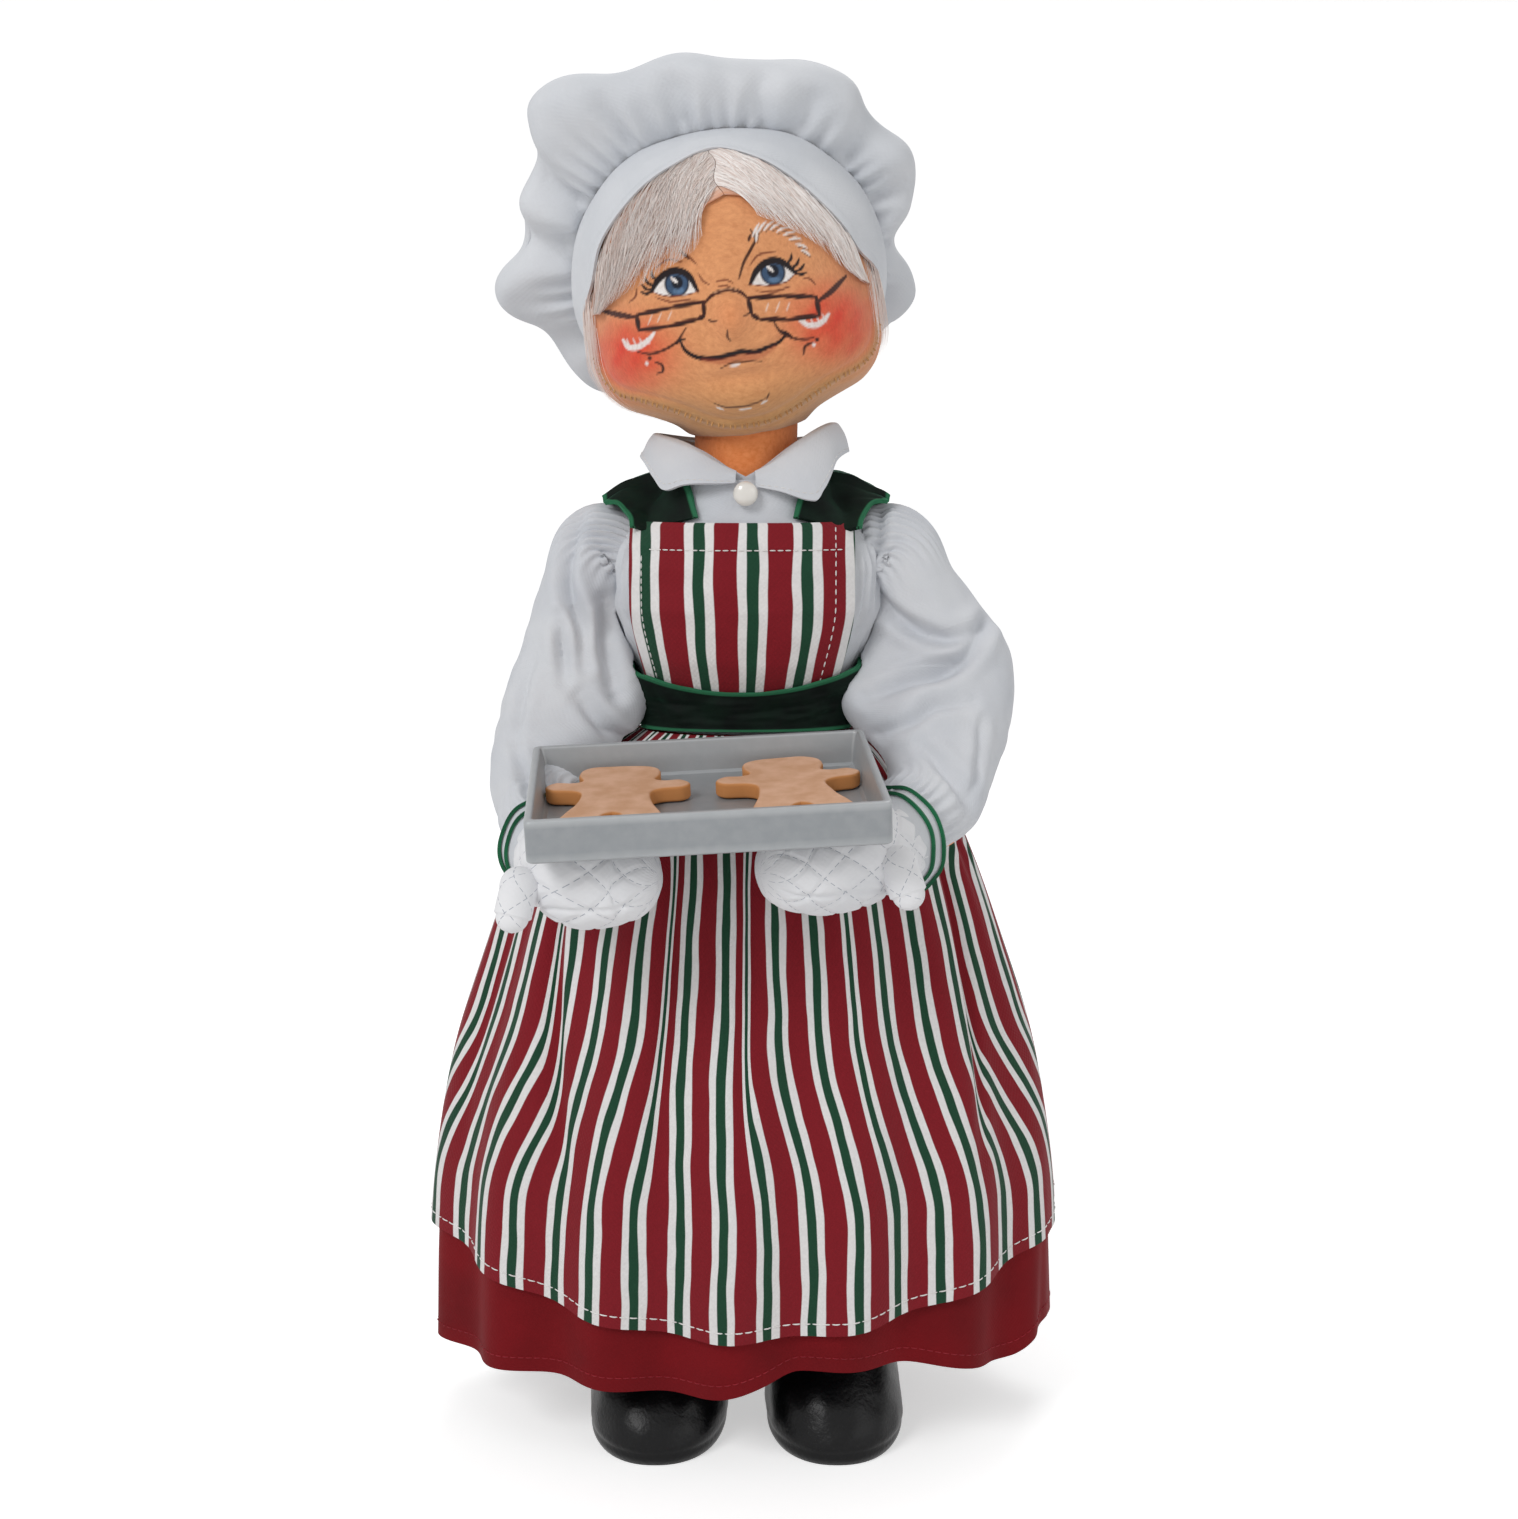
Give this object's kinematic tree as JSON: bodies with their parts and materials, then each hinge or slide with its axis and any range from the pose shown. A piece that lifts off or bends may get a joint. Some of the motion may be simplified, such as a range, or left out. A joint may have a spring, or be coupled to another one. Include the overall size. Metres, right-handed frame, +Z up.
{
  "type": "posable felt doll",
  "caption": "Standing posable felt cook doll with cap, collar, striped bib apron and long skirt, carrying a tray of cookies in quilted mitts.",
  "frame": {"origin": "on the floor, under the middle of the whole doll's box, tray included", "axes": "+Z up, -Y toward the viewer (the doll's front), +X the doll's own left"},
  "size_m": [0.1781, 0.1521, 0.3772],
  "materials": {
    "body_felt": "orange-tan wool felt, fuzzy matte",
    "face_felt": "tan wool felt with painted features and blushed cheeks",
    "armature_wire": "bare soft steel wire",
    "white_cotton": "crisp white plain-weave cotton, matte",
    "quilted_cotton": "white quilted cotton with silver thread and a green-striped binding",
    "striped_cotton": "cotton printed with red, white and green stripes, matte",
    "red_cotton": "deep red plain-weave cotton, matte",
    "green_velvet": "dark green velvet ribbon with a lighter woven edge",
    "white_faux_fur": "silky white faux fur",
    "pearl_plastic": "pearl lacquer, glossy",
    "silver_paint": "silver-grey paint, satin",
    "cookie_clay": "baked modelling clay, matte tan with silvery edges",
    "black_leatherette": "black grained leatherette, soft gloss",
    "sole_rubber": "dark grey sole edge, matte"
  },
  "bodies": {
    "trunk": {"torso": "body_felt", "spine_wire": "armature_wire", "blouse": "white_cotton", "collar_stand": "white_cotton", "collar_left": "white_cotton", "collar_right": "white_cotton", "pearl_button": "pearl_plastic", "apron_bib": "striped_cotton", "strap_left": "green_velvet", "strap_right": "green_velvet", "waistband": "green_velvet", "apron_skirt": "striped_cotton", "red_skirt": "red_cotton"},
    "neck_column": {"neck": "body_felt", "neck_wire": "armature_wire"},
    "head_armature": {"head_wire": "armature_wire"},
    "head_and_cap": {"head": "face_felt", "hair_left": "white_faux_fur", "hair_right": "white_faux_fur", "hat_band": "white_cotton", "hat_crown": "white_cotton"},
    "left_upper": {"left_upper_arm": "body_felt", "left_upper_arm_wire": "armature_wire", "left_sleeve": "white_cotton"},
    "left_lower": {"left_forearm": "body_felt", "left_forearm_wire": "armature_wire"},
    "right_upper": {"right_upper_arm": "body_felt", "right_upper_arm_wire": "armature_wire", "right_sleeve": "white_cotton"},
    "right_lower": {"right_forearm": "body_felt", "right_forearm_wire": "armature_wire"},
    "tray_and_mitts": {"tray": "silver_paint", "cookie_left": "cookie_clay", "cookie_right": "cookie_clay", "left_mitt": "quilted_cotton", "right_mitt": "quilted_cotton"},
    "left_leg_and_boot": {"left_leg": "body_felt", "left_leg_wire": "armature_wire", "left_boot": "black_leatherette", "left_sole": "sole_rubber"},
    "right_leg_and_boot": {"right_leg": "body_felt", "right_leg_wire": "armature_wire", "right_boot": "black_leatherette", "right_sole": "sole_rubber"}
  },
  "joints": [
    {"name": "neck_nod", "type": "hinge", "parent": "trunk", "child": "neck_column", "pos_m": [0, 0.0242, 0.26], "axis": [1, 0, 0], "range_deg": [-2, 8]},
    {"name": "head_tilt", "type": "hinge", "parent": "neck_column", "child": "head_armature", "pos_m": [0, 0.0242, 0.287], "axis": [0, 1, 0], "range_deg": [-3, 17]},
    {"name": "head_turn", "type": "hinge", "parent": "head_armature", "child": "head_and_cap", "pos_m": [0, 0.0242, 0.287], "axis": [-0.1219, 0, 0.9925], "range_deg": [-40, 40]},
    {"name": "right_shoulder", "type": "hinge", "parent": "trunk", "child": "right_upper", "pos_m": [-0.039, 0.0242, 0.252], "axis": [-1, 0, 0], "range_deg": [0, 40], "deforming": ["right_sleeve"]},
    {"name": "left_shoulder", "type": "hinge", "parent": "trunk", "child": "left_upper", "pos_m": [0.039, 0.0242, 0.252], "axis": [-1, 0, 0], "range_deg": [0, 40], "deforming": ["left_sleeve"]},
    {"name": "right_elbow", "type": "hinge", "parent": "right_upper", "child": "right_lower", "pos_m": [-0.057, 0.0202, 0.214], "axis": [-1, 0, 0], "range_deg": [-4, 20]},
    {"name": "left_elbow", "type": "hinge", "parent": "left_upper", "child": "left_lower", "pos_m": [0.059, 0.0202, 0.214], "axis": [-1, 0, 0], "range_deg": [-4, 20]},
    {"name": "tray_tilt", "type": "hinge", "parent": "right_lower", "child": "tray_and_mitts", "pos_m": [-0.054, -0.0178, 0.182], "axis": [-1, 0, 0], "range_deg": [-12, 5]},
    {"name": "left_hip", "type": "hinge", "parent": "trunk", "child": "left_leg_and_boot", "pos_m": [0.0145, 0.0262, 0.168], "axis": [-1, 0, 0], "range_deg": [-12, 2]},
    {"name": "right_hip", "type": "hinge", "parent": "trunk", "child": "right_leg_and_boot", "pos_m": [-0.0145, 0.0262, 0.168], "axis": [-1, 0, 0], "range_deg": [-12, 2]}
  ],
  "couplings": [
    {"joint": "left_shoulder", "follows": "right_shoulder", "ratio": 1},
    {"joint": "left_elbow", "follows": "right_elbow", "ratio": 1}
  ]
}
